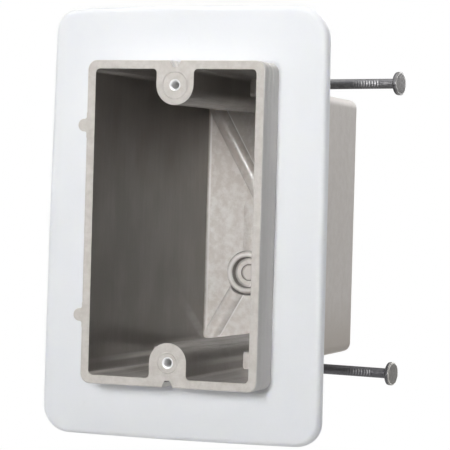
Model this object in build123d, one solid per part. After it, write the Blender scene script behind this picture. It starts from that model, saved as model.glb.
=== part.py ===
from build123d import *
from math import cos, radians, sin, tan
import os

# Frame: x across the wall (nail heads on +x, stud side on -x), y into the wall
# from the front of the rim, z up. All lengths are in millimetres.

# moulded box, outside
box_width = 57.15
box_height = 98.2
box_depth = 95.25
side_draft = 0.0148
end_draft = 0.004
rim_corner = 3.0
rim_edge = 0.25
end_step = 6.65
step_wall = 2.25
step_corner = 3.6
rear_edge = 0.55

# walls and cavity
rim_wall = 2.65
back_wall = 2.6
rear_end_wall = 1.7
room_draft = 0.026
step_share = 0.525
cavity_corner = 1.4
cavity_rear_corner = 2.0
cavity_step_round = 1.3

# device screw bosses and their metal inserts
screw_spacing = 83.3
boss_radius = 6.0
boss_draft = 0.4
boss_base_fillet = 1.2
insert_radius = 1.8
insert_bore = 1.32
insert_length = 12.0
insert_lead = 0.3
screw_relief_fit = 0.2
screw_relief_length = 22.0

# marks on the outside of the rim
flange_y = 12.7
notch_mouth = 3.8
notch_flat = 1.5
notch_depth = 2.1
stop_rib_spacing = 57.6
stop_rib_rise = 0.45
stop_rib_radius = 1.9
stop_rib_reach = 2.7
stop_rib_fillet = 0.7
stop_rib_root = 1.0

# draft seal flange and the collar it rests on
flange_thickness = 3.9
flange_reach_up = 17.55
flange_reach_down = 17.15
flange_reach_top_left = 17.5
flange_reach_top_right = 15.2
flange_reach_bottom_left = 18.75
flange_reach_bottom_right = 15.85
flange_corner = 9.2
flange_bevel = 1.1
flange_fit = 0.05
collar_reach = 1.6
collar_width = 1.8

# nails and the lugs that carry them
nail_diameter = 3.15
nail_length = 88.9
nail_behind_step = 4.25
nail_rise = 2.31
nail_splay = 0.95
nail_stand_out = 25.8
nail_head_diameter = 7.35
nail_head_thickness = 1.5
nail_head_round = 0.35
nail_point = 5.2
grip_count = 2
grip_pitch = 2.1
grip_width = 0.7
grip_start = 4.6
grip_depth = 0.16
lug_half_width = 4.1
lug_length = 9.0
lug_inset = 0.9
lug_chamfer = 2.2
nail_fit = 0.04

# ribs and the ringed boss inside the back wall
rib_width = 5.5
rib_height = 1.6
rib_slope = 60.4
pad_x = 8.0
pad_top = 5.0
pad_width = 6.4
pad_height = 0.8
ring_x = -9.2
ring_z = -16.9
ring_profile = [
    (0.0, -1.9), (2.35, -1.9), (2.6, -1.2), (4.9, -1.2), (5.3, 1.0), (5.7, 1.35), (6.4, 1.35),
    (7.1, 0.9), (7.5, 0.0),
]

# cable knock-outs in the top and bottom of the rear body
knockout_x = 14.6
knockout_from_back = 16.25
knockout_width = 14.0
knockout_length = 16.0
score_width = 0.9
score_depth = 1.2

# a hair's breadth, for telling neighbouring edges and corners apart
hair = 0.01

ring_root = back_wall * 0.8
screw_z = screw_spacing / 2
rear_half = box_height / 2 - end_step
step_y = box_depth * step_share
step_out_y = step_y + step_wall
back_y = box_depth - back_wall
nail_y = step_out_y + nail_behind_step
nail_z = rear_half + nail_rise
nail_head_x = box_width / 2 + nail_stand_out


def across(y):
    """Half the outside width at depth y."""
    return box_width / 2 - side_draft * y


def side_profile(points, rounds):
    """A closed outline in the depth and height plane, rounded corner by corner."""
    wires = Polyline(*[(0, y, z) for y, z in points], close=True)
    face = make_face(wires.edges())
    for (y, z), radius in rounds:
        corner = face.vertices().sort_by_distance((0, y, z))[0]
        face = fillet(corner, radius)
    return face


def tapered_slab(face, half_front, half_back):
    """The outline drawn out sideways, then narrowed towards the back."""
    solid = extrude(face, box_width, dir=(1, 0, 0), both=True)
    tall = box_height * 2
    front = Plane.XZ * Rectangle(2 * half_front, tall)
    back = Plane.XZ.offset(-box_depth) * Rectangle(2 * half_back, tall)
    return solid & loft([front, back], ruled=True)


def round_sides(solid, radius):
    """Round the edges of both side walls that lie between the rim and the very back."""
    sides = [solid.faces().sort_by(Axis.X)[0], solid.faces().sort_by(Axis.X)[-1]]
    edges = [edge for side in sides for edge in side.edges()]
    return fillet([edge for edge in edges if hair < edge.center().Y < box_depth - hair], radius)


def outer_form():
    """Outside of the moulding: deep tapered box, stepped in at both ends."""
    front_half = box_height / 2
    step_half = front_half - end_draft * step_out_y
    end_half = rear_half - end_draft * box_depth
    points = [(0, front_half), (step_out_y, step_half), (step_out_y, rear_half)]
    points += [(box_depth, end_half)]
    points += [(y, -z) for y, z in reversed(points)]
    face = side_profile(points, [((step_out_y, sign * step_half), step_corner) for sign in (1, -1)])
    solid = round_sides(tapered_slab(face, across(0), across(box_depth)), rim_corner)
    solid = chamfer(solid.faces().sort_by(Axis.Y)[-1].edges(), rear_edge)
    return chamfer(solid.faces().sort_by(Axis.Y)[0].edges(), rim_edge)


def cavity_form():
    """Inside space of the moulding, following the stepped outside."""
    front_half = box_height / 2 - rim_wall
    step_half = front_half - end_draft * step_y
    rear_top = rear_half - rear_end_wall
    end_half = rear_top - room_draft * (back_y - step_y)
    points = [(0, front_half), (step_y, step_half), (step_y, rear_top), (back_y, end_half)]
    points += [(y, -z) for y, z in reversed(points)]
    rounds = []
    for sign in (1, -1):
        rounds.append(((step_y, sign * rear_top), cavity_step_round))
        rounds.append(((back_y, sign * end_half), cavity_rear_corner))
    face = side_profile(points, rounds)
    solid = tapered_slab(face, across(0) - rim_wall, across(box_depth) - rim_wall)
    return round_sides(solid, cavity_corner)


def boss_outline(radius, y):
    """Section of one boss at depth y, flared where it meets the end wall."""
    wall_z = box_height / 2 - rim_wall
    post = Pos(0, screw_z) * Circle(radius)
    web = Pos(0, (screw_z + wall_z) / 2) * Rectangle(2 * radius, wall_z - screw_z)
    root = Pos(0, wall_z + rim_wall / 4) * Rectangle(4 * radius, rim_wall / 2)
    profile = post + web + root
    inner = profile.vertices().filter_by(lambda v: abs(v.Y - wall_z) < hair)
    profile = fillet(inner.filter_by(lambda v: abs(v.X) < radius + hair), boss_base_fillet)
    return Plane.XZ.offset(-y) * profile


def boss_form(sign):
    """One device screw boss as deep as the box, a little slimmer towards the back."""
    end = back_y + back_wall / 2
    slim = end * tan(radians(boss_draft))
    solid = loft([boss_outline(boss_radius, 0), boss_outline(boss_radius - slim, end)], ruled=True)
    return solid if sign > 0 else mirror(solid, about=Plane.XY)


def along_y(x, z, y0, y1, radius):
    """A cylinder that runs in the depth direction."""
    plane = Plane.XZ.offset(-y0)
    return extrude(plane * (Pos(x, z) * Circle(radius)), -(y1 - y0))


def screw_hole(sign):
    """Seat for one insert, with room behind it for the end of the screw."""
    relief_end = insert_length + screw_relief_length
    seat = along_y(0, sign * screw_z, 0, insert_length, insert_radius)
    relief_radius = insert_bore + screw_relief_fit
    return seat + along_y(0, sign * screw_z, insert_length, relief_end, relief_radius)


def domed_bar(a, b, width, height):
    """A round bar between two points, sunk in the back wall until only its crown shows."""
    radius = (width**2 / 4 + height**2) / (2 * height)
    start = Vector(a[0], back_y - height + radius, a[1])
    run = Vector(b[0], start.Y, b[1]) - start
    return extrude(Plane(start, z_dir=run) * Circle(radius), run.length)


def back_ribs():
    """Low rounded ribs that cross at the middle of the back wall, with two side pads."""
    reach_x = rear_half / tan(radians(rib_slope))
    cross = domed_bar((-reach_x, rear_half), (reach_x, -rear_half), rib_width, rib_height)
    cross = cross + mirror(cross, about=Plane.YZ)
    pad = domed_bar((-pad_x, pad_top), (-pad_x, ring_z), pad_width, pad_height)
    radius = (pad_width**2 / 4 + pad_height**2) / (2 * pad_height)
    pad = pad + Pos(-pad_x, back_y - pad_height + radius, pad_top) * Sphere(radius)
    ribs = cross + pad + mirror(pad, about=Plane.YZ)
    slab = Pos(0, back_y, 0) * Box(box_width, 2 * rib_height + back_wall / 4, box_height)
    return ribs & slab


def ring_boss():
    """Boss on the back wall: a raised ring round a seat that steps down twice."""
    points = [(r, -h) for r, h in ring_profile]
    points += [(ring_profile[-1][0], ring_root), (0, ring_root)]
    face = make_face(Polyline(*points, close=True).edges())
    return Pos(ring_x, back_y, ring_z) * revolve(face, Axis.Y)


def notch_form(sign):
    """Centre mark cut across the end of the rim."""
    edge = box_height / 2
    over = notch_depth / 2
    slope = (notch_mouth - notch_flat) / 2 / notch_depth
    half = notch_mouth / 2 + slope * over
    low = edge - notch_depth
    outline = Polyline((-notch_flat / 2, low), (notch_flat / 2, low), (half, edge + over),
                       (-half, edge + over), close=True)
    solid = extrude(Plane.XZ * make_face(outline.edges()), -flange_y)
    return solid if sign > 0 else mirror(solid, about=Plane.XY)


def stop_rib(sign):
    """Half-round rib on the stud side that stops against the front of the stud."""
    wall_x = -across(0)
    centre_x = wall_x - stop_rib_reach + stop_rib_radius
    base = Pos((wall_x + centre_x + stop_rib_root) / 2, 0)
    web = base * Rectangle(wall_x - centre_x + stop_rib_root, 2 * stop_rib_radius)
    root = Pos(wall_x + stop_rib_root / 2, 0) * Rectangle(stop_rib_root, 4 * stop_rib_radius)
    profile = Pos(centre_x, 0) * Circle(stop_rib_radius) + web + root
    inner = profile.vertices().filter_by(lambda v: abs(v.X - wall_x) < hair)
    profile = fillet(inner.filter_by(lambda v: abs(v.Y) < 1.5 * stop_rib_radius), stop_rib_fillet)
    place = Pos(0, stop_rib_rise + sign * stop_rib_spacing / 2)
    return extrude(Plane.XZ * (place * profile), -flange_y)


def section_outline(y, grow):
    """Outline of the front body at depth y, grown outwards on every side."""
    half_x = across(y) + grow
    half_z = box_height / 2 - end_draft * y + grow
    return RectangleRounded(2 * half_x, 2 * half_z, rim_corner + grow)


def collar_form():
    """Low moulded collar behind the draft seal."""
    start = flange_y + flange_thickness
    rib = extrude(Plane.XZ.offset(-start) * section_outline(start, collar_reach), -collar_width)
    core = extrude(Plane.XZ.offset(-start) * section_outline(start, -rim_wall / 2), -collar_width)
    return rib - core


def nail_plane(sign):
    """Plane across the nail at its head; its normal runs from point to head."""
    lean = radians(nail_splay)
    head_z = nail_z + nail_head_x * tan(lean)
    run = (cos(lean), 0, sign * sin(lean))
    return Plane((nail_head_x, nail_y, sign * head_z), z_dir=run)


def lug_form(sign, side):
    """One lug behind the step that the nail passes through."""
    rise = radians(nail_splay)
    x0 = side * (across(nail_y) - lug_inset)
    x1 = x0 - side * lug_length
    top = nail_z + (x0 + x1) / 2 * tan(rise) + lug_half_width
    foot = rear_half - rear_end_wall / 2
    front = step_out_y - step_corner - step_wall / 2
    rear = nail_y + lug_half_width
    outline = Polyline((front, foot), (rear, foot), (rear, top - lug_chamfer),
                       (rear - lug_chamfer, top), (front, top), close=True)
    face = Plane((min(x0, x1), 0, 0), x_dir=(0, 1, 0), z_dir=(1, 0, 0)) * make_face(outline.edges())
    solid = extrude(face, lug_length)
    return solid if sign > 0 else mirror(solid, about=Plane.XY)


def knockout_score(sign, side):
    """Score line around one cable knock-out, cut from outside."""
    knockout_y = box_depth - knockout_from_back
    surface = rear_half - end_draft * (knockout_y - step_out_y)
    plane = Plane((side * knockout_x, knockout_y, surface - score_depth), z_dir=(0, 0, 1))
    inner = Rectangle(knockout_width - 2 * score_width, knockout_length - 2 * score_width)
    outline = Rectangle(knockout_width, knockout_length) - inner
    solid = extrude(plane * outline, 2 * score_depth)
    return solid if sign > 0 else mirror(solid, about=Plane.XY)


def make_box():
    outer = outer_form()
    body = outer
    for sign in (1, -1):
        for side in (1, -1):
            body = body + lug_form(sign, side)
    body = body - cavity_form()
    for sign in (1, -1):
        body = body + (boss_form(sign) & outer)
    body = body + (back_ribs() & outer)
    ring_front = back_y - 2 * rib_height
    ring_room = along_y(ring_x, ring_z, ring_front, back_y + ring_root, ring_profile[-1][0])
    body = (body - ring_room) + ring_boss()
    body = body + collar_form()
    for sign in (1, -1):
        body = body + stop_rib(sign)
        body = body - screw_hole(sign) - notch_form(sign) - nail_bore(sign)
        for side in (1, -1):
            body = body - knockout_score(sign, side)
    return body


def nail_bore(sign):
    """Straight hole through both lugs for one nail."""
    plane = nail_plane(sign)
    length = nail_stand_out + 2 * box_width
    return extrude(plane * Circle(nail_diameter / 2 + nail_fit), -length)


def make_flange():
    """Soft ring around the body, a little wider at the foot than at the head."""
    side = box_width / 2
    top = box_height / 2 + flange_reach_up
    bottom = -box_height / 2 - flange_reach_down
    corners = [(-side - flange_reach_top_left, top), (side + flange_reach_top_right, top)]
    corners += [(side + flange_reach_bottom_right, bottom)]
    corners += [(-side - flange_reach_bottom_left, bottom)]
    outline = make_face(Polyline(*corners, close=True).edges())
    outline = fillet(outline.vertices(), flange_corner)
    ring = extrude(Plane.XZ.offset(-flange_y) * outline, -flange_thickness)
    ring = chamfer(ring.faces().sort_by(Axis.Y)[0].edges(), flange_bevel)
    hole = section_outline(flange_y, flange_fit)
    return ring - extrude(Plane.XZ.offset(-flange_y) * hole, -flange_thickness)


def make_nail(sign):
    """A plain nail with a flat head, grip grooves under it and a point."""
    r = nail_diameter / 2
    head = nail_head_diameter / 2
    t = nail_head_thickness
    edge = nail_head_round
    points = [(0, 0), (head - edge, 0), (head, -edge), (head, -t), (r, -t)]
    for i in range(grip_count):
        z = -grip_start - i * grip_pitch
        points += [(r, z), (r - grip_depth, z)]
        points += [(r - grip_depth, z - grip_width), (r, z - grip_width)]
    points += [(r, -nail_length + nail_point), (0, -nail_length)]
    face = make_face(Polyline(*[(x, 0, z) for x, z in points], close=True).edges())
    return nail_plane(sign).location * revolve(face, Axis.Z)


def make_insert(sign):
    """Threaded insert shown plain, with a lead-in at its mouth."""
    points = [(insert_bore + insert_lead, 0), (insert_radius, 0)]
    points += [(insert_radius, insert_length), (insert_bore, insert_length)]
    points += [(insert_bore, insert_lead)]
    face = make_face(Polyline(*points, close=True).edges())
    return Pos(0, 0, sign * screw_z) * revolve(face, Axis.Y)


os.makedirs("parts", exist_ok=True)
export_step(make_box(), "parts/outlet_box.step")
export_step(make_flange(), "parts/draft_seal_flange.step")
export_step(make_nail(1), "parts/upper_nail.step")
export_step(make_nail(-1), "parts/lower_nail.step")
export_step(make_insert(1), "parts/upper_screw_insert.step")
export_step(make_insert(-1), "parts/lower_screw_insert.step")
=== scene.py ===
import bpy
import math
import numpy as np
from mathutils import Matrix, Vector


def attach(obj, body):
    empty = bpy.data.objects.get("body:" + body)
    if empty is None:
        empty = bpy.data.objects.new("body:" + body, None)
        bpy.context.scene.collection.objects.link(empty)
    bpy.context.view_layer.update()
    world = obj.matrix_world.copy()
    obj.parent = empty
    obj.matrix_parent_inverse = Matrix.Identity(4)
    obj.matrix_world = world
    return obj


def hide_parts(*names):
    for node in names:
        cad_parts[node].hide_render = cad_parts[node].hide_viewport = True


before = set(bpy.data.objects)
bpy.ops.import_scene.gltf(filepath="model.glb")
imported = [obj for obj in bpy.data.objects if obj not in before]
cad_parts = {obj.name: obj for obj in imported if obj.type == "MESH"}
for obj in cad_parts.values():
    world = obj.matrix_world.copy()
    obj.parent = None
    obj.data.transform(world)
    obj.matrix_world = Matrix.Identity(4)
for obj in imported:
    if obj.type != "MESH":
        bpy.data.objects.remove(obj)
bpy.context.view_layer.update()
scene = bpy.context.scene
print("frame loaded, nodes:", sorted(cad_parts))

mm = 0.001

# lengths of the moulding that the finishes and the new pieces follow, in millimetres
boxForm = {
    "halfWidth": 28.575, "sideDraft": 0.0148, "halfHeight": 49.1, "endDraft": 0.004,
    "rimCorner": 3.0, "stepDepth": 50.0, "rearHalf": 42.45, "depth": 95.25, "screwHeight": 41.65,
    "backWall": 92.65, "backHalfWidth": 24.55, "backHalfHeight": 39.65,
    "ribSlope": 60.4, "ribFoot": 2.95, "ringX": -9.2, "ringZ": -16.9,
}


def putMesh(name, points, faces, material):
    # one smooth mesh object from an array of points and an array or list of faces
    mesh = bpy.data.meshes.new(name)
    mesh.from_pydata((points * mm).tolist(), [], faces if isinstance(faces, list) else faces.tolist())
    mesh.validate()
    mesh.update()
    mesh.polygons.foreach_set("use_smooth", np.full(len(mesh.polygons), True))
    obj = bpy.data.objects.new(name, mesh)
    scene.collection.objects.link(obj)
    mesh.materials.append(material)
    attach(obj, "root")
    return obj


def gridFaces(rows, columns, wrapRows=False):
    # quads between neighbouring rows and columns of a grid of points whose columns close in a loop
    r, c = np.meshgrid(np.arange(rows if wrapRows else rows - 1), np.arange(columns), indexing="ij")
    r2, c2 = (r + 1) % rows, (c + 1) % columns
    quads = np.stack([r * columns + c, r * columns + c2, r2 * columns + c2, r2 * columns + c], -1)
    return quads.reshape(-1, 4)


def roundedLoop(corners, radii, perCorner, perSide):
    # points round a convex outline whose corners are replaced by arcs that touch both sides,
    # with the same number of points on every arc and every straight run
    corners = np.asarray(corners, float)
    before = np.roll(corners, 1, 0) - corners
    after = np.roll(corners, -1, 0) - corners
    before /= np.linalg.norm(before, axis=1)[:, None]
    after /= np.linalg.norm(after, axis=1)[:, None]
    half = np.arccos((before * after).sum(1)) / 2
    radii = np.broadcast_to(np.asarray(radii, float), half.shape)
    middle = before + after
    middle /= np.linalg.norm(middle, axis=1)[:, None]
    centre = corners + middle * (radii / np.sin(half))[:, None]
    start = corners + before * (radii / np.tan(half))[:, None]
    finish = corners + after * (radii / np.tan(half))[:, None]
    a0 = np.arctan2(*(start - centre).T[::-1])
    turn = np.arctan2(*(finish - centre).T[::-1]) - a0
    turn = (turn + math.pi) % (2 * math.pi) - math.pi
    t = np.linspace(0, 1, perCorner)
    angle = a0[:, None] + turn[:, None] * t
    arcs = centre[:, None] + radii[:, None, None] * np.stack([np.cos(angle), np.sin(angle)], -1)
    s = (np.arange(perSide) + 1) / (perSide + 1)
    runs = finish[:, None] * (1 - s[:, None]) + np.roll(start, -1, 0)[:, None] * s[:, None]
    return np.concatenate([arcs, runs], 1).reshape(-1, 2)


def smoothBump(x, centre, width):
    # a rounded hump: one at the centre, fading to nothing a width away
    u = np.clip(np.abs(x - centre) / width, 0, 1)
    return (1 - u * u) ** 2


def drift(u, seed, waves):
    # slow unevenness round a loop: a few sine waves with fixed odd phases, u from 0 to 1
    k = np.arange(1, waves + 1)
    phase = (seed * 1.7 + k * 2.399) % (2 * math.pi)
    return (np.sin(2 * math.pi * k * u[..., None] + phase) / k ** 0.7).sum(-1) / 2


def joinNodes(tree, source, target):
    tree.links.new(source, target)


def newMaterial(name, **shader):
    # a material with one Principled shader, its fixed values set on the shader's own sockets
    material = bpy.data.materials.new(name)
    material.use_nodes = True
    tree = material.node_tree
    surface = tree.nodes["Principled BSDF"]
    for key, value in shader.items():
        surface.inputs[key.replace("_", " ")].default_value = value
    return material, tree, surface


def newGroup(name, inputs, outputs):
    group = bpy.data.node_groups.new(name, "ShaderNodeTree")
    for label, kind, value in inputs:
        socket = group.interface.new_socket(name=label, in_out="INPUT", socket_type=kind)
        socket.default_value = value
    for label, kind in outputs:
        group.interface.new_socket(name=label, in_out="OUTPUT", socket_type=kind)
    return group, group.nodes.new("NodeGroupInput"), group.nodes.new("NodeGroupOutput")


def mathNode(tree, operation, a, b=None, c=None, clamp=False):
    # a Math node whose inputs are sockets or plain numbers; gives back its output socket
    node = tree.nodes.new("ShaderNodeMath")
    node.operation = operation
    node.use_clamp = clamp
    for socket, value in zip(node.inputs, (a, b, c)):
        if value is None:
            continue
        if isinstance(value, (int, float)):
            socket.default_value = value
        else:
            tree.links.new(value, socket)
    return node.outputs[0]


def product(tree, first, *others):
    # masks and plain numbers multiplied together
    for other in others:
        first = mathNode(tree, "MULTIPLY", first, other)
    return first


def strongest(tree, first, *others):
    # the greatest of several masks
    for other in others:
        first = mathNode(tree, "MAXIMUM", first, other)
    return first


def opposite(tree, mask):
    return mathNode(tree, "SUBTRACT", 1.0, mask)


def rangeNode(tree, value, low, high, toLow=0.0, toHigh=1.0):
    # a smooth step from one value to another while the input goes from low to high
    node = tree.nodes.new("ShaderNodeMapRange")
    node.interpolation_type = "SMOOTHSTEP"
    tree.links.new(value, node.inputs["Value"])
    for label, number in (("From Min", low), ("From Max", high), ("To Min", toLow), ("To Max", toHigh)):
        node.inputs[label].default_value = number
    return node.outputs[0]


def noiseNode(tree, vector, scale, detail=3.0, rough=0.5, stretch=(1, 1, 1)):
    # noise whose scale is in waves to the metre; stretch is how fine it is along each direction
    mapping = tree.nodes.new("ShaderNodeMapping")
    mapping.inputs["Scale"].default_value = stretch
    tree.links.new(vector, mapping.inputs["Vector"])
    noise = tree.nodes.new("ShaderNodeTexNoise")
    noise.inputs["Scale"].default_value = scale
    noise.inputs["Detail"].default_value = detail
    noise.inputs["Roughness"].default_value = rough
    tree.links.new(mapping.outputs[0], noise.inputs["Vector"])
    return noise.outputs["Fac"]


def mixColour(tree, factor, a, b):
    # from colour a to colour b; each may be a socket or a plain colour
    node = tree.nodes.new("ShaderNodeMix")
    node.data_type = "RGBA"
    for socket, value in zip((node.inputs[0], node.inputs[6], node.inputs[7]), (factor, a, b)):
        if isinstance(value, (int, float)):
            socket.default_value = value
        elif isinstance(value, tuple):
            socket.default_value = (*value, 1)
        else:
            tree.links.new(value, socket)
    return node.outputs[2]


# effects that several finishes share
def mouldGrainGroup():
    # soft clouding, short fibres and fine pitting of a moulded surface
    group, into, out = newGroup("mouldGrain", [
        ("Vector", "NodeSocketVector", (0, 0, 0)), ("Cloud Scale", "NodeSocketFloat", 180.0),
        ("Grain Scale", "NodeSocketFloat", 2600.0), ("Speck Share", "NodeSocketFloat", 0.3),
    ], [("Cloud", "NodeSocketFloat"), ("Grain", "NodeSocketFloat"),
        ("Speck", "NodeSocketFloat"), ("Height", "NodeSocketFloat")])
    cloud = group.nodes.new("ShaderNodeTexNoise")
    grain = group.nodes.new("ShaderNodeTexNoise")
    speck = group.nodes.new("ShaderNodeTexVoronoi")
    cloud.inputs["Detail"].default_value = 4
    cloud.inputs["Roughness"].default_value = 0.62
    grain.inputs["Detail"].default_value = 2
    joinNodes(group, into.outputs["Vector"], cloud.inputs["Vector"])
    joinNodes(group, into.outputs["Cloud Scale"], cloud.inputs["Scale"])
    joinNodes(group, into.outputs["Vector"], grain.inputs["Vector"])
    joinNodes(group, into.outputs["Grain Scale"], grain.inputs["Scale"])
    joinNodes(group, into.outputs["Vector"], speck.inputs["Vector"])
    speckScale = mathNode(group, "MULTIPLY", into.outputs["Grain Scale"], 0.42)
    joinNodes(group, speckScale, speck.inputs["Scale"])
    spot = mathNode(group, "SUBTRACT", into.outputs["Speck Share"], speck.outputs["Distance"])
    spot = mathNode(group, "MULTIPLY", spot, 5.0, clamp=True)
    cloudEven = rangeNode(group, cloud.outputs["Fac"], 0.3, 0.7)
    grainEven = rangeNode(group, grain.outputs["Fac"], 0.3, 0.7)
    height = mathNode(group, "MULTIPLY_ADD", cloudEven, 0.35, grainEven)
    height = mathNode(group, "MULTIPLY_ADD", spot, -0.5, height)
    for label, socket in (("Cloud", cloudEven), ("Grain", grainEven), ("Speck", spot), ("Height", height)):
        joinNodes(group, socket, out.inputs[label])
    return group


def metalWearGroup():
    # blotches, drawn streaks and small nicks of plain metal
    group, into, out = newGroup("metalWear", [
        ("Vector", "NodeSocketVector", (0, 0, 0)), ("Blotch Scale", "NodeSocketFloat", 700.0),
        ("Streak Stretch", "NodeSocketVector", (0.12, 1.0, 1.0)),
    ], [("Blotch", "NodeSocketFloat"), ("Streak", "NodeSocketFloat"), ("Height", "NodeSocketFloat")])
    blotch = group.nodes.new("ShaderNodeTexNoise")
    streak = group.nodes.new("ShaderNodeTexNoise")
    blotch.inputs["Detail"].default_value = 5
    blotch.inputs["Roughness"].default_value = 0.65
    streak.inputs["Detail"].default_value = 2
    joinNodes(group, into.outputs["Vector"], blotch.inputs["Vector"])
    joinNodes(group, into.outputs["Blotch Scale"], blotch.inputs["Scale"])
    stretched = group.nodes.new("ShaderNodeVectorMath")
    stretched.operation = "MULTIPLY"
    joinNodes(group, into.outputs["Vector"], stretched.inputs[0])
    joinNodes(group, into.outputs["Streak Stretch"], stretched.inputs[1])
    joinNodes(group, stretched.outputs[0], streak.inputs["Vector"])
    joinNodes(group, mathNode(group, "MULTIPLY", into.outputs["Blotch Scale"], 3.0), streak.inputs["Scale"])
    blotchEven = rangeNode(group, blotch.outputs["Fac"], 0.32, 0.68)
    streakEven = rangeNode(group, streak.outputs["Fac"], 0.3, 0.7)
    height = mathNode(group, "MULTIPLY_ADD", streakEven, 0.5, blotchEven)
    for label, socket in (("Blotch", blotchEven), ("Streak", streakEven), ("Height", height)):
        joinNodes(group, socket, out.inputs[label])
    return group


def objectPlace(tree):
    # object coordinates, and the same place in millimetres as separate x, y and z
    coords = tree.nodes.new("ShaderNodeTexCoord").outputs["Object"]
    enlarge = tree.nodes.new("ShaderNodeVectorMath")
    enlarge.operation = "SCALE"
    enlarge.inputs["Scale"].default_value = 1 / mm
    parts = tree.nodes.new("ShaderNodeSeparateXYZ")
    joinNodes(tree, coords, enlarge.inputs[0])
    joinNodes(tree, enlarge.outputs[0], parts.inputs[0])
    return coords, *parts.outputs


def radiusNode(tree, a, b, centreA, centreB):
    # distance from a centre in a plane
    da = mathNode(tree, "SUBTRACT", a, centreA)
    db = mathNode(tree, "SUBTRACT", b, centreB)
    return mathNode(tree, "SQRT", mathNode(tree, "ADD", product(tree, da, da), product(tree, db, db)))


def bandNode(tree, value, centre, halfWidth):
    # one at the centre of a band, fading to nothing at its edges
    off = mathNode(tree, "ABSOLUTE", mathNode(tree, "SUBTRACT", value, centre))
    return rangeNode(tree, off, 0.25 * halfWidth, halfWidth, 1.0, 0.0)


def placeGroup(tree, group, vector, **values):
    node = tree.nodes.new("ShaderNodeGroup")
    node.node_tree = group
    joinNodes(tree, vector, node.inputs["Vector"])
    for key, value in values.items():
        node.inputs[key.replace("_", " ")].default_value = value
    return node.outputs


def addBump(tree, surface, height, strength, distance, under=None):
    bump = tree.nodes.new("ShaderNodeBump")
    bump.inputs["Strength"].default_value = strength
    bump.inputs["Distance"].default_value = distance
    joinNodes(tree, height, bump.inputs["Height"])
    if under:
        joinNodes(tree, under, bump.inputs["Normal"])
    joinNodes(tree, bump.outputs[0], surface.inputs["Normal"])
    return bump.outputs[0]


mouldGrain = mouldGrainGroup()
metalWear = metalWearGroup()
print("shared effects built")


bodyFinish = {
    # colours of the front faces, the outside of the rim, the rear body and the back wall; all one moulding,
    # but the outside, the rear body and most of all the back wall are written paler than the front faces as
    # painted light
    "faceColour": (0.700, 0.665, 0.625), "shadeColour": (0.600, 0.562, 0.520),
    "sideColour": (0.735, 0.715, 0.690), "rearColour": (0.762, 0.718, 0.682),
    "rearShade": (0.715, 0.668, 0.628), "rearFootShadeColour": (0.575, 0.520, 0.465),
    "backColour": (0.870, 0.835, 0.800), "backShade": (0.690, 0.630, 0.578),
    # colours of the drawn inner walls, darker than the outside as painted shade of the deep box, then of
    # painted highlights on edges, painted shade in the ring's seats, and pits
    "wallColour": (0.262, 0.240, 0.220), "wallStreakAndShade": (0.165, 0.150, 0.135),
    "pullColour": (0.150, 0.136, 0.122), "glintColour": (0.66, 0.62, 0.58),
    "paintedHighlightColour": (0.98, 0.95, 0.92), "seatShade": (0.20, 0.18, 0.16),
    "speckColour": (0.34, 0.31, 0.28), "wallRough": 0.34,
    # how deep the outside finish reaches, and where the centre notch at the top lies
    "rimSkin": 0.06, "sideSkin": 1.3, "endSkin": 1.6, "stepSkin": 1.1, "backSkin": 1.3,
    "notchHalf": 2.3, "notchFloor": 46.7,
    # depths where the back wall and the rear body begin, and heights between which painted shade fades in:
    # at the rear body's foot, at the top of the back wall and low on the side walls
    "backFrom": 40.0, "rearFrom": 20.0, "rearFootShadeFade": (-43.0, -20.0), "backTopShadeFade": (2.0, 22.0),
    "lowWallShadeFade": (0.0, 34.0), "lowWallShadeFrom": 15.0,
    # edge softening, then painted highlight lines and the rings of painted shade and highlight on the
    # ringed boss; a ring or line is its place and half width
    "edgeSoftness": 0.5, "cornerLine": 0.75, "cornerWidth": 0.45, "ribFootWidth": 0.30,
    "ringStep": (2.55, 0.55), "ringGroove": (4.75, 0.75), "ringCrest": (6.1, 0.7),
    "ringFoot": (7.5, 0.55), "grooveFade": (-3.0, 2.0), "ringFootFade": (-6.5, -4.0),
    # painted glints (reflections) low on the drawn walls, and a painted beam of reflected light that slants
    # down the stud side wall
    "glintLine": (-42.4, 1.2), "glintReach": (6.0, 42.0), "glintFoot": (-46.1, 0.7), "glintEnd": 49.5,
    "beamLine": (20.7, 3.4), "beamSlope": 0.647, "beamReach": (66.0, 94.0),
    # gauge ridges round the rim with painted highlights on their crests, and witness rings on the screw
    # bosses
    "ridgePitch": 3.3, "ridgeCount": 3.3, "ridgeFade": (28.0, 46.0), "ridgeHighlight": 0.5,
    "markRadii": (4.05, 3.0), "markWidth": 0.32, "markSkin": 0.2,
}


def innerMask(tree, x, y, z, behindRim, look):
    # one on the inner faces, which lie deeper than the outside finish on every side; the centre
    # notch at the top is left as pale as the outside
    absX, absZ = mathNode(tree, "ABSOLUTE", x), mathNode(tree, "ABSOLUTE", z)
    sideEdge = mathNode(tree, "MULTIPLY_ADD", y, -boxForm["sideDraft"],
                        boxForm["halfWidth"] - look["sideSkin"])
    front = mathNode(tree, "LESS_THAN", y, boxForm["stepDepth"] + look["stepSkin"])
    endEdge = mathNode(tree, "MULTIPLY_ADD", front, boxForm["halfHeight"] - boxForm["rearHalf"],
                       boxForm["rearHalf"] - look["endSkin"])
    notch = product(tree, mathNode(tree, "LESS_THAN", absX, look["notchHalf"]),
                    mathNode(tree, "GREATER_THAN", z, look["notchFloor"]))
    return product(tree, mathNode(tree, "LESS_THAN", absX, sideEdge),
                   mathNode(tree, "LESS_THAN", absZ, endEdge),
                   mathNode(tree, "LESS_THAN", y, boxForm["depth"] - look["backSkin"]),
                   behindRim, opposite(tree, notch))


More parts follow.
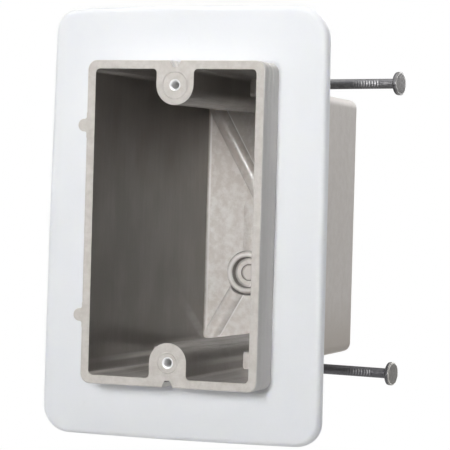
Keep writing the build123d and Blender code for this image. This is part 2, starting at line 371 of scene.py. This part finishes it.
def backWallColour(tree, x, y, z, cloud, look):
    # painted shade: the back wall darkens towards its top, under the top wall, besides its random mottling
    shade = mathNode(tree, "MULTIPLY_ADD", cloud, 0.9, rangeNode(tree, z, *look["backTopShadeFade"], 0.0, 0.5))
    colour = mixColour(tree, shade, look["backColour"], look["backShade"])
    # painted highlights along the corner fillets and the right foot of each crossing rib
    lines = strongest(
        tree,
        bandNode(tree, mathNode(tree, "ABSOLUTE", x), boxForm["backHalfWidth"] - look["cornerLine"],
                 look["cornerWidth"]),
        bandNode(tree, z, look["cornerLine"] - boxForm["backHalfHeight"], look["cornerWidth"]))
    slope = math.radians(boxForm["ribSlope"])
    for sign in (1, -1):
        rise = product(tree, z, sign * math.cos(slope))
        across = mathNode(tree, "MULTIPLY_ADD", x, math.sin(slope), rise)
        lines = strongest(tree, lines, bandNode(tree, across, boxForm["ribFoot"], look["ribFootWidth"]))
    lines = product(tree, lines, mathNode(tree, "GREATER_THAN", y, boxForm["backWall"] - 0.6))
    colour = mixColour(tree, lines, colour, look["paintedHighlightColour"])
    # the ringed boss gets painted shade in its step, in its groove and under its foot, and a painted
    # highlight on its crest
    fromRing = radiusNode(tree, x, z, boxForm["ringX"], boxForm["ringZ"])
    low, high = look["grooveFade"]
    groove = product(tree, bandNode(tree, fromRing, *look["ringGroove"]), rangeNode(
        tree, x, boxForm["ringX"] + low, boxForm["ringX"] + high, 0.6, 0.0))
    low, high = look["ringFootFade"]
    under = product(tree, bandNode(tree, fromRing, *look["ringFoot"]), rangeNode(
        tree, z, boxForm["ringZ"] + low, boxForm["ringZ"] + high, 1.0, 0.0))
    dark = strongest(tree, bandNode(tree, fromRing, *look["ringStep"]), groove, under)
    colour = mixColour(tree, dark, colour, look["seatShade"])
    crest = product(tree, bandNode(tree, fromRing, *look["ringCrest"]), 0.85)
    return mixColour(tree, crest, colour, look["paintedHighlightColour"])


def outsideColour(tree, y, z, cloud, look):
    # the rear body is warmer than the rim, and darker and browner towards its foot as painted shade
    rear = mixColour(tree, rangeNode(tree, z, *look["rearFootShadeFade"], 1.0, 0.0), mixColour(
        tree, cloud, look["rearColour"], look["rearShade"]), look["rearFootShadeColour"])
    return mixColour(tree, mathNode(tree, "GREATER_THAN", y, look["rearFrom"]), look["sideColour"], rear)


def wallGlints(tree, x, y, z, look):
    # painted reflections as pale glints: low along the draw, in the front corners below, and slanting down
    # the stud side
    low = product(tree, bandNode(tree, z, *look["glintLine"]), rangeNode(
        tree, y, *look["glintReach"], 0.1, 0.8))
    low = product(tree, strongest(tree, low, bandNode(tree, z, *look["glintFoot"])),
                  mathNode(tree, "LESS_THAN", y, look["glintEnd"]),
                  rangeNode(tree, x, -4.0, 4.0, 1.0, 0.45))
    slant = mathNode(tree, "MULTIPLY_ADD", y, look["beamSlope"], z)
    beam = product(tree, bandNode(tree, slant, *look["beamLine"]),
                   rangeNode(tree, y, *look["beamReach"], 0.0, 0.38), mathNode(tree, "LESS_THAN", x, 0.0))
    return strongest(tree, low, beam)


def rimRidges(tree, y, z, inside, look):
    # fine gauge ridges round the outside of the rim, strongest at the upper corners
    wave = mathNode(tree, "SINE", product(tree, y, 2 * math.pi / look["ridgePitch"]))
    nearRim = rangeNode(tree, y, look["ridgePitch"] * (look["ridgeCount"] - 0.5),
                        look["ridgePitch"] * look["ridgeCount"], 1.0, 0.0)
    return product(tree, mathNode(tree, "MULTIPLY_ADD", wave, 0.5, 0.5), nearRim,
                   rangeNode(tree, z, *look["ridgeFade"], 0.12, 1.0), opposite(tree, inside))


def bossMarks(tree, x, y, z, look):
    # witness rings on the flat fronts of the screw bosses, the upper one wider
    radius = radiusNode(tree, x, mathNode(tree, "ABSOLUTE", z), 0.0, boxForm["screwHeight"])
    upper, lower = look["markRadii"]
    ring = mathNode(tree, "MULTIPLY_ADD", mathNode(tree, "GREATER_THAN", z, 0.0), upper - lower, lower)
    mark = bandNode(tree, mathNode(tree, "SUBTRACT", radius, ring), 0.0, look["markWidth"])
    return product(tree, mark, mathNode(tree, "LESS_THAN", y, look["markSkin"]))


def mouldedBodyMaterial(look):
    # warm grey moulding: matt pitted faces outside, smoother drawn walls inside
    material, tree, surface = newMaterial("mouldedFibreGrey", Specular_IOR_Level=0.45, Coat_Roughness=0.15)
    coords, x, y, z = objectPlace(tree)
    behindRim = mathNode(tree, "GREATER_THAN", y, look["rimSkin"])
    inside = innerMask(tree, x, y, z, behindRim, look)
    # edges look softened; inside, what faces forward is matt and what lies along the draw is glossy
    soften = tree.nodes.new("ShaderNodeBevel")
    soften.samples = 4
    soften.inputs["Radius"].default_value = look["edgeSoftness"] * mm
    turned = tree.nodes.new("ShaderNodeSeparateXYZ")
    joinNodes(tree, soften.outputs["Normal"], turned.inputs[0])
    alongDraw = rangeNode(tree, mathNode(tree, "ABSOLUTE", turned.outputs[1]), 0.15, 0.70, 1.0, 0.0)
    drawnWall = product(tree, inside, alongDraw)
    grain = placeGroup(tree, mouldGrain, coords, Cloud_Scale=380.0, Grain_Scale=2300.0, Speck_Share=0.16)
    streak = rangeNode(tree, noiseNode(tree, coords, 105, 3, 0.5, (1, 0.75, 0.45)), 0.3, 0.7)
    # polishing lines run up the side walls, draw lines run in along the bosses and the end walls
    sideways = rangeNode(tree, mathNode(tree, "ABSOLUTE", turned.outputs[0]), 0.75, 0.95)
    polish = rangeNode(tree, noiseNode(tree, coords, 600, 4, 0.6, (1, 1, 0.05)), 0.25, 0.75)
    pulled = rangeNode(tree, noiseNode(tree, coords, 520, 3, 0.65, (1, 0.05, 1)), 0.3, 0.7)
    pulledEnds = product(tree, pulled, opposite(tree, sideways))
    drawn = mathNode(tree, "ADD", product(tree, polish, sideways), pulledEnds)
    pull = product(tree, pulledEnds, 0.7)
    ridges = rimRidges(tree, y, z, inside, look)
    # faces: the front, then the outside, then the back wall, and painted highlights on the ridge crests
    face = mixColour(tree, product(tree, grain["Cloud"], 0.95), look["faceColour"], look["shadeColour"])
    outer = product(tree, opposite(tree, inside), behindRim)
    face = mixColour(tree, outer, face, outsideColour(tree, y, z, grain["Cloud"], look))
    atBack = product(tree, inside, mathNode(tree, "GREATER_THAN", y, look["backFrom"]))
    face = mixColour(tree, atBack, face, backWallColour(tree, x, y, z, grain["Cloud"], look))
    face = mixColour(tree, product(tree, ridges, behindRim, look["ridgeHighlight"]), face, look["paintedHighlightColour"])
    # drawn walls: streaked, darker low down at the sides as painted shade, darker where pulled, with
    # painted glints
    lowWallShade = product(tree, rangeNode(tree, z, *look["lowWallShadeFade"], 0.60, 0.0), mathNode(
        tree, "GREATER_THAN", mathNode(tree, "ABSOLUTE", x), look["lowWallShadeFrom"]))
    tone = mathNode(tree, "MULTIPLY_ADD", drawn, 0.18, mathNode(tree, "MULTIPLY_ADD", streak, 0.37, lowWallShade))
    # the drawn walls' dark base colour is painted shade of the deep box
    wall = mixColour(tree, tone, look["wallColour"], look["wallStreakAndShade"])
    wall = mixColour(tree, pull, wall, look["pullColour"])
    glint = product(tree, wallGlints(tree, x, y, z, look), mathNode(tree, "MULTIPLY_ADD", pulled, 0.5, 0.5))
    wall = mixColour(tree, glint, wall, look["glintColour"])
    colour = mixColour(tree, drawnWall, face, wall)
    pits = product(tree, grain["Speck"], opposite(tree, inside), 0.35)
    joinNodes(tree, mixColour(tree, pits, colour, look["speckColour"]), surface.inputs["Base Color"])
    rough = tree.nodes.new("ShaderNodeMix")
    joinNodes(tree, drawnWall, rough.inputs[0])
    joinNodes(tree, mathNode(tree, "MULTIPLY_ADD", grain["Grain"], 0.12, 0.56), rough.inputs[2])
    joinNodes(tree, mathNode(tree, "MULTIPLY_ADD", streak, 0.04, look["wallRough"]), rough.inputs[3])
    joinNodes(tree, rough.outputs[0], surface.inputs["Roughness"])
    joinNodes(tree, mathNode(tree, "MULTIPLY_ADD", drawnWall, -0.5, inside), surface.inputs["Coat Weight"])
    # each bump carries on from the one before: height, strength, distance in metres
    normal = soften.outputs["Normal"]
    for height, strength, distance in (
            (ridges, 1.0, 0.0006), (bossMarks(tree, x, y, z, look), 0.9, 0.0002),
            (product(tree, drawn, drawnWall), 0.12, 0.0001), (product(tree, pull, drawnWall), 0.6, 0.0005),
            (grain["Height"], 0.35, 0.00008)):
        normal = addBump(tree, surface, height, strength, distance, normal)
    return material


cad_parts["outlet_box"].data.materials.clear()
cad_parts["outlet_box"].data.materials.append(mouldedBodyMaterial(bodyFinish))
print("moulded body finished")


sealForm = {
    "front": 12.7, "thickness": 3.9, "reachUp": 17.55, "reachDown": 17.15,
    "reachTopLeft": 17.5, "reachTopRight": 15.2, "reachBottomLeft": 18.75, "reachBottomRight": 15.85,
    # corner radii: top left, bottom left, bottom right, top right; hollow is how far each soft edge
    # falls back towards its ends from a full middle
    "outerCorners": (7.6, 8.6, 7.8, 10.4), "hollowTop": 0.75, "hollowFoot": 0.55, "hollowLeft": 0.45,
    "hollowRight": 0.30, "innerGap": 0.05, "roll": 1.8, "beadHeight": 0.05, "beadAt": 2.4,
    "waveHeight": 0.28, "edgeWave": 0.05, "perCorner": 40, "perSide": 80,
}


def sealRing(form, material):
    # a ring carried round two matching loops: each section runs from the hole, out over the soft
    # front face with its low bead, round the rolled edge and back along the rear face
    top = boxForm["halfHeight"] + form["reachUp"]
    foot = -boxForm["halfHeight"] - form["reachDown"]
    w = boxForm["halfWidth"]
    outer = roundedLoop([(-w - form["reachTopLeft"], top), (-w - form["reachBottomLeft"], foot),
                         (w + form["reachBottomRight"], foot), (w + form["reachTopRight"], top)],
                        form["outerCorners"], form["perCorner"], form["perSide"])
    # each straight run is full in the middle: the point falls back as the square of its share of
    # the half length, so the ring keeps inside its outline
    sx, sz = outer[:, 0] / np.abs(outer[:, 0]).max(), outer[:, 1] / np.abs(outer[:, 1]).max()
    endFall = np.where(sz > 0, form["hollowTop"] * (sx - 0.2) ** 2, form["hollowFoot"] * (sx + 0.1) ** 2)
    sideFall = np.where(sx > 0, form["hollowRight"], form["hollowLeft"]) * (sz + 0.25) ** 2
    outer = outer - np.stack([np.sign(sx) * sideFall * sx ** 8, np.sign(sz) * endFall * sz ** 8], -1)
    hx = w - boxForm["sideDraft"] * form["front"] + form["innerGap"]
    hz = boxForm["halfHeight"] - boxForm["endDraft"] * form["front"] + form["innerGap"]
    inner = roundedLoop([(-hx, hz), (-hx, -hz), (hx, -hz), (hx, hz)],
                        boxForm["rimCorner"], form["perCorner"], form["perSide"])
    width = np.linalg.norm(outer - inner, axis=1)
    inward = (inner - outer) / width[:, None]
    u = np.arange(len(outer)) / len(outer)
    slow = drift(u, 3, 7)
    outer = outer + inward * (form["edgeWave"] * (0.6 + 0.4 * drift(u, 11, 9)))[:, None]
    width = np.linalg.norm(outer - inner, axis=1)
    r, thick = form["roll"], form["thickness"]
    back = r * 0.7
    rows = len(outer)
    ones = np.ones((rows, 1))
    a = np.linspace(0, math.pi / 2, 9)
    share = np.linspace(0, 1, 25)[:-1] ** 0.8
    rearShare = np.linspace(0, 1, 9)[1:]
    # columns of one section: distance in from the outer edge, and depth behind the front face
    frontIn = width[:, None] - (width[:, None] - r) * share
    rearIn = back + (width[:, None] - back) * rearShare
    distance = np.concatenate([frontIn, ones * (r - r * np.sin(a)),
                               ones * back * (1 - np.cos(a)), rearIn], 1)
    depth = np.concatenate([0 * frontIn, ones * (r - r * np.cos(a)),
                            ones * (thick - back * (1 - np.sin(a))), 0 * rearIn + thick], 1)
    # the front face swells into a low bead near the edge, and the whole ring waves a little
    faceShare = np.clip(1 - depth / thick, 0, 1)
    depth = depth - form["beadHeight"] * smoothBump(distance, form["beadAt"], 2.4) * faceShare
    depth = depth + form["waveHeight"] * slow[:, None] * (1 - distance / width[:, None])
    place = outer[:, None] + inward[:, None] * distance[..., None]
    points = np.stack([place[..., 0], form["front"] + depth, place[..., 1]], -1)
    faces = gridFaces(*points.shape[:2], wrapRows=True)
    return putMesh("draftSealRing", points.reshape(-1, 3), faces, material)


sealFinish = {
    "colour": (0.900, 0.912, 0.940), "cloudColour": (0.875, 0.890, 0.925),
    "scuffColour": (0.80, 0.80, 0.82),
}


def softSealMaterial(look):
    # soft white moulded rubber: nearly matt, faintly clouded, a few pale scuffs
    material, tree, surface = newMaterial("softWhiteSeal", Specular_IOR_Level=0.4, Subsurface_Weight=0.4,
                                         Subsurface_Radius=(1.0, 1.0, 1.1), Subsurface_Scale=0.0022)
    coords = tree.nodes.new("ShaderNodeTexCoord").outputs["Object"]
    grain = placeGroup(tree, mouldGrain, coords, Cloud_Scale=70.0, Grain_Scale=1500.0, Speck_Share=0.06)
    scuff = rangeNode(tree, noiseNode(tree, coords, 300, 4, 0.7, (1, 1, 0.5)), 0.66, 0.78)
    colour = mixColour(tree, product(tree, grain["Cloud"], 0.5), look["colour"], look["cloudColour"])
    colour = mixColour(tree, product(tree, scuff, 0.25), colour, look["scuffColour"])
    joinNodes(tree, colour, surface.inputs["Base Color"])
    joinNodes(tree, mathNode(tree, "MULTIPLY_ADD", grain["Grain"], 0.12, 0.48), surface.inputs["Roughness"])
    addBump(tree, surface, grain["Height"], 0.15, 0.00006)
    return material


seal = sealRing(sealForm, softSealMaterial(sealFinish))
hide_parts("draft_seal_flange")
print("draft seal made")


nailForm = {
    "x": 54.375, "y": 56.50625, "z": 44.76, "splay": 0.95, "shank": 1.575, "length": 88.9,
    "headRadius": 3.675, "headThick": 1.5, "headTilt": 9.0, "point": 5.2, "grips": 10, "gripPitch": 0.90,
    "gripStart": 7.1, "gripDepth": 0.17, "around": 64,
}


def driveNail(name, sign, form, material):
    # a surface turned about the nail's axis: its radius follows a profile along the axis, with grip
    # marks pressed into opposite sides under the head and four flats that meet in the point
    lean = math.radians(form["splay"])
    headZ = form["z"] + form["x"] * math.tan(lean)
    axis = np.array([math.cos(lean), 0, sign * math.sin(lean)])
    start = np.array([form["x"], form["y"], sign * headZ])
    headR, r, t = form["headRadius"], form["shank"], form["headThick"]
    b = np.linspace(0, 1, 7)
    domeR, domeA = headR * 0.93 * np.linspace(0.04, 1, 12), -0.10 * np.linspace(0, 1, 12) ** 2
    rimR = headR * (0.93 + 0.07 * np.sin(b * math.pi / 2))
    rimA = -0.10 - 0.28 * (1 - np.cos(b * math.pi / 2))
    underR = np.array([headR, headR - 0.1, headR - 0.35, r + 0.75, r + 0.35, r + 0.12, r])
    underA = np.array([-t + 0.45, -t + 0.15, -t, -t - 0.05, -t - 0.2, -t - 0.45, -t - 0.85])
    gripEnd = form["gripStart"] + form["grips"] * form["gripPitch"]
    gripA = -np.linspace(t + 1.1, gripEnd + 0.6, 150)
    plainA = -np.linspace(gripEnd + 1.2, form["length"] - form["point"] - 0.4, 24)
    pointA = -np.linspace(form["length"] - form["point"], form["length"] - 0.12, 16)
    along = np.concatenate([domeA, rimA, underA, gripA, plainA, pointA])
    radius = np.concatenate([domeR, rimR, underR, 0 * gripA + r, 0 * plainA + r, 0 * pointA + r])
    turn = np.arange(form["around"]) / form["around"] * 2 * math.pi
    phase = (-along - form["gripStart"]) / form["gripPitch"]
    within = ((phase > 0) & (phase < form["grips"])).astype(float)
    cut = np.clip(np.cos(2 * math.pi * (phase - 0.5)) * 1.6 - 0.35, 0, 1) * within
    uneven = 0.65 + 0.35 * np.sin(np.floor(phase) * 2.4 + 1)
    facing = np.clip(np.abs(np.cos(turn - 0.25)) * 1.5 - 0.35, 0, 1)
    grid = radius[:, None] - form["gripDepth"] * (cut * uneven)[:, None] * facing
    flat = np.maximum(np.abs(np.cos(turn)), np.abs(np.sin(turn)))
    toTip = np.clip((form["length"] + along) / form["point"], 0.02, None)[:, None]
    grid = np.minimum(grid, np.where(toTip < 1.45, r * toTip * 1.05 / flat, 1e9))
    # a struck head is never quite round or flat
    headArea = (along > -t - 0.1)[:, None] * (radius > r + 0.3)[:, None]
    grid = grid * (1 + 0.012 * np.sin(3 * turn + 1.1 * sign) * headArea)
    side, up = np.array([0.0, -1.0, 0.0]), np.cross(axis, [0.0, -1.0, 0.0])
    ring = np.cos(turn)[:, None] * side + np.sin(turn)[:, None] * up
    # the struck head sits a little askew: it falls back on the near side as its radius times tan(tilt)
    askew = math.tan(math.radians(form["headTilt"])) * np.clip(along + t + 1.0, 0, 1)[:, None]
    fall = -askew * (grid * np.cos(turn) + headR)
    points = start + (along[:, None] + fall)[..., None] * axis + grid[..., None] * ring
    ends = np.stack([start - axis * headR * math.tan(math.radians(form["headTilt"])),
                     start - axis * form["length"]])
    faces = gridFaces(len(along), form["around"])[:, ::-1]
    count = len(along) * form["around"]
    n = np.arange(form["around"])
    n2 = (n + 1) % form["around"]
    last = count - form["around"]
    capHead = np.stack([n, n2, np.full_like(n, count)], -1)
    capTip = np.stack([last + n2, last + n, np.full_like(n, count + 1)], -1)
    allPoints = np.concatenate([points.reshape(-1, 3), ends])
    allFaces = faces.tolist() + capHead.tolist() + capTip.tolist()
    return putMesh(name, allPoints, allFaces, material)


nailFinish = {
    "colour": (0.112, 0.110, 0.116), "blotchColour": (0.165, 0.163, 0.168),
    "darkColour": (0.065, 0.065, 0.07), "headColour": (0.185, 0.180, 0.176),
    "lowerHead": (0.270, 0.262, 0.245), "markColour": (0.56, 0.56, 0.57),
    "markBend": 0.26, "markFade": (0.6, 1.2),
}


def nailSteelMaterial(look):
    # plain drawn wire steel, dull grey with phosphate clouding and faint lengthwise streaks
    material, tree, surface = newMaterial("drawnNailSteel", Metallic=1.0)
    coords, x, _, z = objectPlace(tree)
    wear = placeGroup(tree, metalWear, coords, Blotch_Scale=900.0)
    colour = mixColour(tree, wear["Blotch"], look["colour"], look["blotchColour"])
    dark = rangeNode(tree, noiseNode(tree, coords, 1500, 3, 0.6), 0.60, 0.75)
    colour = mixColour(tree, product(tree, dark, 0.6), colour, look["darkColour"])
    # painted shade darkens the lower nail's shank and painted light brightens its head
    lower = mathNode(tree, "LESS_THAN", z, 0.0)
    colour = mixColour(tree, product(tree, lower, 0.6), colour, look["darkColour"])
    head = mixColour(tree, lower, look["headColour"], look["lowerHead"])
    atHead = mathNode(tree, "GREATER_THAN", x, nailForm["x"] - nailForm["headThick"])
    colour = mixColour(tree, product(tree, atHead, mathNode(
        tree, "MULTIPLY_ADD", wear["Blotch"], 0.3, 0.7)), colour, head)
    # the grip marks are burnished arcs: phase along the axis, bent back by the height off the axis
    axisZ = mathNode(tree, "MULTIPLY_ADD", x, math.tan(math.radians(nailForm["splay"])), nailForm["z"])
    off = mathNode(tree, "SUBTRACT", mathNode(tree, "ABSOLUTE", z), axisZ)
    bent = mathNode(tree, "ADD", x, product(tree, off, off, look["markBend"]))
    phase = mathNode(tree, "SUBTRACT", nailForm["x"] - nailForm["gripStart"], bent)
    phase = mathNode(tree, "DIVIDE", phase, nailForm["gripPitch"])
    mark = product(
        tree, rangeNode(tree, mathNode(tree, "FRACT", phase), 0.55, 0.85),
        rangeNode(tree, mathNode(tree, "ABSOLUTE", off), *look["markFade"], 1.0, 0.0),
        rangeNode(tree, phase, 0.0, 1.0),
        rangeNode(tree, phase, nailForm["grips"] * 0.45, nailForm["grips"], 1.0, 0.0),
        mathNode(tree, "MULTIPLY_ADD", lower, -0.55, 0.90))
    colour = mixColour(tree, mark, colour, look["markColour"])
    joinNodes(tree, colour, surface.inputs["Base Color"])
    joinNodes(tree, mathNode(tree, "MULTIPLY_ADD", wear["Streak"], 0.14, 0.42), surface.inputs["Roughness"])
    addBump(tree, surface, wear["Height"], 0.35, 0.00005)
    return material


nailSteel = nailSteelMaterial(nailFinish)
upperNail = driveNail("upperNailSteel", 1, nailForm, nailSteel)
lowerNail = driveNail("lowerNailSteel", -1, nailForm, nailSteel)
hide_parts("upper_nail")
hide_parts("lower_nail")
print("nails made")


insertForm = {
    "outer": 1.8, "bore": 1.22, "thread": 0.24, "pitch": 0.794, "length": 12.0, "flare": 0.45,
    "flareTurn": 0.14, "around": 64, "rowsPerTurn": 10,
}


def threadInsert(name, sign, form, material):
    # a sleeve whose bore is a screw thread: the radius at each point rises and falls with the depth
    # less the turn angle; the loop closes over the rear end, the outside, a rounded front edge and
    # a mouth that narrows as radius = bore + width * (1 - s), depth = flare * s, s from 0 to 1
    rows = int(form["length"] / form["pitch"] * form["rowsPerTurn"])
    y = np.linspace(form["flare"] + 0.05, form["length"] - 0.3, rows)
    turn = np.arange(form["around"]) / form["around"] * 2 * math.pi
    phase = (y[:, None] / form["pitch"] - turn / (2 * math.pi)) % 1.0
    crest = 1 - np.abs(2 * phase - 1)
    fade = np.clip((y - form["flare"]) / 0.6, 0, 1)[:, None]
    bore = form["bore"] + form["thread"] * np.clip(1.25 - crest * 1.25, 0, 1) * fade
    a, s = np.linspace(0, math.pi / 2, 7), np.linspace(0, 1, 8)[1:]
    edgeY = form["flareTurn"] * (1 - np.sin(a))
    edgeR = form["outer"] - form["flareTurn"] * (1 - np.cos(a))
    mouthR = form["bore"] + (edgeR[-1] - form["bore"]) * (1 - s)
    length = form["length"]
    closeY = np.concatenate([[length, length, length - 0.01], edgeY, form["flare"] * s])
    closeR = np.concatenate([[form["bore"] + form["thread"], form["outer"], form["outer"]], edgeR, mouthR])
    depth = np.concatenate([y, closeY])
    radius = np.concatenate([bore, closeR[:, None] * np.ones(form["around"])])
    points = np.stack([radius * np.cos(turn), depth[:, None] * np.ones(form["around"]),
                       radius * np.sin(turn) + sign * boxForm["screwHeight"]], -1)
    faces = gridFaces(len(depth), form["around"], wrapRows=True)
    return putMesh(name, points.reshape(-1, 3), faces, material)


insertFinish = {"colour": (0.96, 0.96, 0.96), "blotchColour": (0.88, 0.88, 0.88)}


def insertMetalMaterial(look):
    # bright plated metal with soft turning marks
    material, tree, surface = newMaterial("brightInsertMetal", Metallic=1.0)
    coords = tree.nodes.new("ShaderNodeTexCoord").outputs["Object"]
    wear = placeGroup(tree, metalWear, coords, Blotch_Scale=1400.0)
    colour = mixColour(tree, wear["Blotch"], look["colour"], look["blotchColour"])
    joinNodes(tree, colour, surface.inputs["Base Color"])
    joinNodes(tree, mathNode(tree, "MULTIPLY_ADD", wear["Streak"], 0.10, 0.32), surface.inputs["Roughness"])
    addBump(tree, surface, wear["Height"], 0.2, 0.00003)
    return material


insertMetal = insertMetalMaterial(insertFinish)
upperInsert = threadInsert("upperInsertThread", 1, insertForm, insertMetal)
lowerInsert = threadInsert("lowerInsertThread", -1, insertForm, insertMetal)
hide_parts("upper_screw_insert")
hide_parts("lower_screw_insert")
print("screw inserts made")


studio = {
    "floorHeight": -0.28, "floorHalf": 0.80, "floorColour": (0.62, 0.62, 0.62), "floorLift": 0.62,
    "fadeFrom": 0.35, "fadeTo": 0.75, "glossyFront": 1.0, "glossyBack": 0.5, "middle": (0.0, 0.03, 0.0),
    # each lamp: azimuth, elevation, distance, size across and up, watts, then aim and spread if narrow
    "lamps": {
        "gridLamp": (4, 14, 1.8, 0.35, 0.45, 0.56, 0.16, 28),
        "keyLamp": (2, 12, 1.8, 0.50, 0.45, 5.6),
        "topLamp": (0, 85, 1.4, 1.0, 1.0, 11.1),
        "leftLamp": (-70, 5, 1.2, 0.7, 0.8, 1.64),
        "rightLamp": (90, 50, 1.4, 0.8, 0.8, 1.7),
        "rearLamp": (160, 25, 1.4, 0.8, 0.8, 12.1),
    },
}


def floorPaint(name, look):
    # the floor takes the shadow near the part and fades to plain white round it for the camera
    material = bpy.data.materials.new(name)
    material.use_nodes = True
    tree = material.node_tree
    tree.nodes.clear()
    out = tree.nodes.new("ShaderNodeOutputMaterial")
    matt = tree.nodes.new("ShaderNodeBsdfDiffuse")
    matt.inputs["Color"].default_value = (*look["floorColour"], 1)
    lift = tree.nodes.new("ShaderNodeEmission")
    plain = tree.nodes.new("ShaderNodeEmission")
    path = tree.nodes.new("ShaderNodeLightPath")
    coords = tree.nodes.new("ShaderNodeTexCoord").outputs["Object"]
    reach = tree.nodes.new("ShaderNodeVectorMath")
    reach.operation = "LENGTH"
    joinNodes(tree, coords, reach.inputs[0])
    seen = mathNode(tree, "MAXIMUM", path.outputs["Is Camera Ray"], path.outputs["Is Glossy Ray"])
    joinNodes(tree, product(tree, seen, look["floorLift"]), lift.inputs["Strength"])
    joinNodes(tree, seen, plain.inputs["Strength"])
    add = tree.nodes.new("ShaderNodeAddShader")
    joinNodes(tree, matt.outputs[0], add.inputs[0])
    joinNodes(tree, lift.outputs[0], add.inputs[1])
    far = rangeNode(tree, reach.outputs["Value"], look["fadeFrom"], look["fadeTo"])
    far = product(tree, far, path.outputs["Is Camera Ray"])
    blend = tree.nodes.new("ShaderNodeMixShader")
    joinNodes(tree, far, blend.inputs[0])
    joinNodes(tree, add.outputs[0], blend.inputs[1])
    joinNodes(tree, plain.outputs[0], blend.inputs[2])
    joinNodes(tree, blend.outputs[0], out.inputs["Surface"])
    return material


def layFloor(look):
    half = look["floorHalf"]
    mesh = bpy.data.meshes.new("paleFloor")
    corners = [(-half, -half, look["floorHeight"]), (half, -half, look["floorHeight"]),
               (half, half, look["floorHeight"]), (-half, half, look["floorHeight"])]
    mesh.from_pydata(corners, [], [(0, 1, 2, 3)])
    floor = bpy.data.objects.new("paleFloor", mesh)
    scene.collection.objects.link(floor)
    mesh.materials.append(floorPaint("paleFloorPaint", look))


def hangLamp(name, azimuth, elevation, distance, across, up, watts, aimUp=0.0, spread=180):
    # a soft square lamp round the middle of the part; azimuth 0 is in front, 90 is on +x, and a
    # narrow spread aimed above the part leaves its lower end a little dimmer
    az, el = math.radians(azimuth), math.radians(elevation)
    toward = Vector((math.sin(az) * math.cos(el), -math.cos(az) * math.cos(el), math.sin(el)))
    middle = Vector(studio["middle"])
    place = middle + toward * distance
    lamp = bpy.data.lights.new(name, "AREA")
    lamp.shape = "RECTANGLE"
    lamp.size, lamp.size_y = across, up
    lamp.energy = watts
    lamp.spread = math.radians(spread)
    obj = bpy.data.objects.new(name, lamp)
    scene.collection.objects.link(obj)
    facing = (place - middle - Vector((0, 0, aimUp))).to_track_quat("Z", "Y")
    obj.matrix_world = Matrix.Translation(place) @ facing.to_matrix().to_4x4()


def paintSurround(look):
    # white to the camera; glossy rays see a white sweep behind the part and a darker room in front
    world = bpy.data.worlds.new("studioSurround")
    scene.world = world
    world.use_nodes = True
    tree = world.node_tree
    sky = tree.nodes["Background"]
    path = tree.nodes.new("ShaderNodeLightPath")
    direction = tree.nodes.new("ShaderNodeSeparateXYZ")
    joinNodes(tree, tree.nodes.new("ShaderNodeTexCoord").outputs["Generated"], direction.inputs[0])
    sweep = rangeNode(tree, direction.outputs[1], -0.4, 0.5, look["glossyFront"], look["glossyBack"])
    glossy = product(tree, sweep, path.outputs["Is Glossy Ray"])
    strength = strongest(tree, glossy, path.outputs["Is Camera Ray"], path.outputs["Is Transmission Ray"])
    joinNodes(tree, strength, sky.inputs["Strength"])
    sky.inputs["Color"].default_value = (1, 1, 1, 1)


paintSurround(studio)
layFloor(studio)
for lampName, lamp in studio["lamps"].items():
    hangLamp(lampName, *lamp)
print("studio set")


viewpoint = {
    "place": (0.25351, -0.62161, 0.00861), "yaw": 20.81, "pitch": 0.72, "roll": 1.55,
    "lens": 179.36, "sensor": 36.0,
}


def setCamera(view):
    camera = bpy.data.cameras.new("photoCamera")
    camera.lens, camera.sensor_width = view["lens"], view["sensor"]
    camera.sensor_fit = "HORIZONTAL"
    camera.clip_start, camera.clip_end = 0.02, 20
    obj = bpy.data.objects.new("photoCamera", camera)
    scene.collection.objects.link(obj)
    turn = Matrix.Rotation(math.radians(view["yaw"]), 4, "Z")
    tilt = Matrix.Rotation(math.radians(90 - view["pitch"]), 4, "X")
    roll = Matrix.Rotation(math.radians(view["roll"]), 4, "Z")
    obj.matrix_world = Matrix.Translation(view["place"]) @ turn @ tilt @ roll
    scene.camera = obj


setCamera(viewpoint)
scene.view_settings.view_transform = "Standard"
print("camera set")
